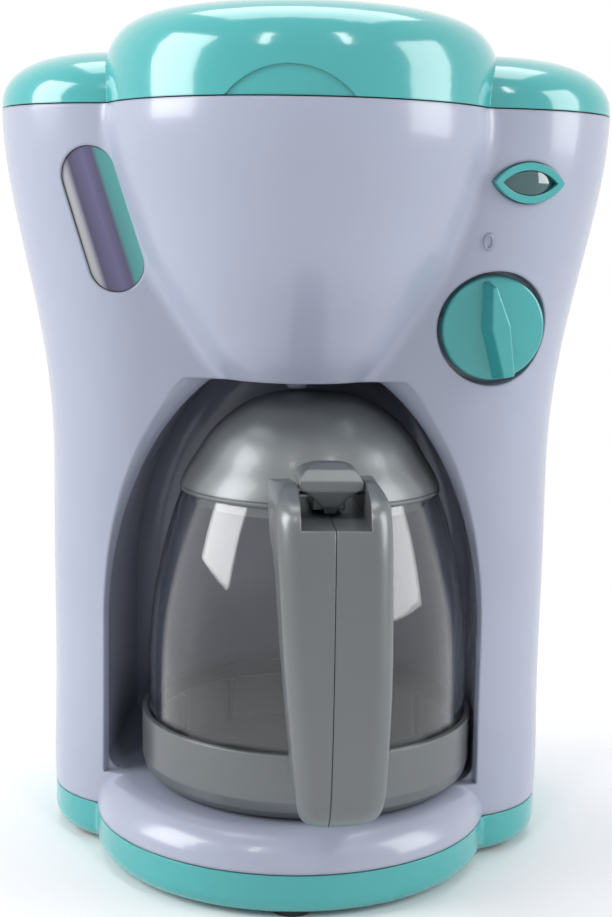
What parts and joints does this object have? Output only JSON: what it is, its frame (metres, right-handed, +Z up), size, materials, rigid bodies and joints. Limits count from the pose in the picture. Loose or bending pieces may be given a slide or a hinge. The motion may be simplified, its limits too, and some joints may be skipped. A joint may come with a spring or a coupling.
{
  "type": "toy coffee maker",
  "caption": "Toy coffee maker with a flared two-shell body, rear-hinged lid, turning dial, water window, lamp and a lidded carafe in an arched niche.",
  "frame": {"origin": "on the table at the bottom centre of the whole, under the axis of the round front", "axes": "+Z up, +X to the right of someone facing the front, -Y towards them"},
  "size_m": [0.1566, 0.156, 0.215],
  "materials": {
    "body_lavender": "gloss moulded lavender plastic",
    "teal_plastic": "gloss moulded teal plastic",
    "silver_plastic": "silver-grey plastic with a fine pearl",
    "clear_plastic": "clear gloss plastic",
    "foot_rubber": "matt dark rubber",
    "screw_steel": "plated steel",
    "motor_steel": "drawn steel can",
    "white_plastic": "matt natural plastic",
    "dark_plastic": "matt black plastic",
    "clear_hose": "soft clear hose",
    "lens_green": "clear dark green plastic",
    "led_green": "diffused green epoxy",
    "board_green": "lacquered circuit board",
    "cell_wrap": "plain wrapped dry cell",
    "contact_metal": "plated spring steel"
  },
  "bodies": {
    "housing": {"front_housing": "body_lavender", "back_housing": "body_lavender", "dial_numeral": "body_lavender", "base_cover": "teal_plastic", "foot_pads": "foot_rubber", "housing_screws": "screw_steel", "lid_hinge_pins": "screw_steel", "water_tank": "teal_plastic", "pump_case": "white_plastic", "pump_motor": "motor_steel", "inlet_hose": "clear_hose", "drip_nozzle": "teal_plastic", "rotary_switch": "dark_plastic", "window_pane": "clear_plastic", "window_frame": "teal_plastic", "indicator_bezel": "teal_plastic", "indicator_lens": "lens_green", "indicator_led": "led_green", "led_board": "board_green", "battery_box": "dark_plastic", "battery_cells": "cell_wrap", "battery_contacts": "contact_metal"},
    "top_lid": {"top_lid": "teal_plastic"},
    "dial": {"dial": "teal_plastic", "dial_shaft": "white_plastic"},
    "rotor": {"pump_rotor": "white_plastic"},
    "battery_door": {"battery_door": "body_lavender", "door_screw": "screw_steel"},
    "carafe": {"carafe_jug": "clear_plastic", "carafe_cup": "silver_plastic", "carafe_collar": "silver_plastic", "carafe_lid": "silver_plastic", "lid_pin": "screw_steel", "handle_left": "silver_plastic", "handle_right": "silver_plastic", "handle_screws": "screw_steel"}
  },
  "joints": [
    {"name": "top_lid_hinge", "type": "hinge", "parent": "housing", "child": "top_lid", "pos_m": [0, 0.0751, 0.19065], "axis": [-1, 0, 0], "range_deg": [0, 90]},
    {"name": "dial_turn", "type": "hinge", "parent": "housing", "child": "dial", "pos_m": [0.0492, -0.01191, 0.138], "axis": [0.2413, -0.9679, -0.0698], "range_deg": [-60, 0]},
    {"name": "rotor_spin", "type": "hinge", "parent": "housing", "child": "rotor", "pos_m": [0, 0, 0.135], "axis": [0, 0, 1], "continuous": true},
    {"name": "battery_door_off", "type": "slide", "parent": "housing", "child": "battery_door", "axis": [0, 1, 0], "range_m": [0, 0.04]},
    {"name": "carafe_out", "type": "slide", "parent": "housing", "child": "carafe", "axis": [0, -1, 0], "range_m": [0, 0.15]}
  ]
}
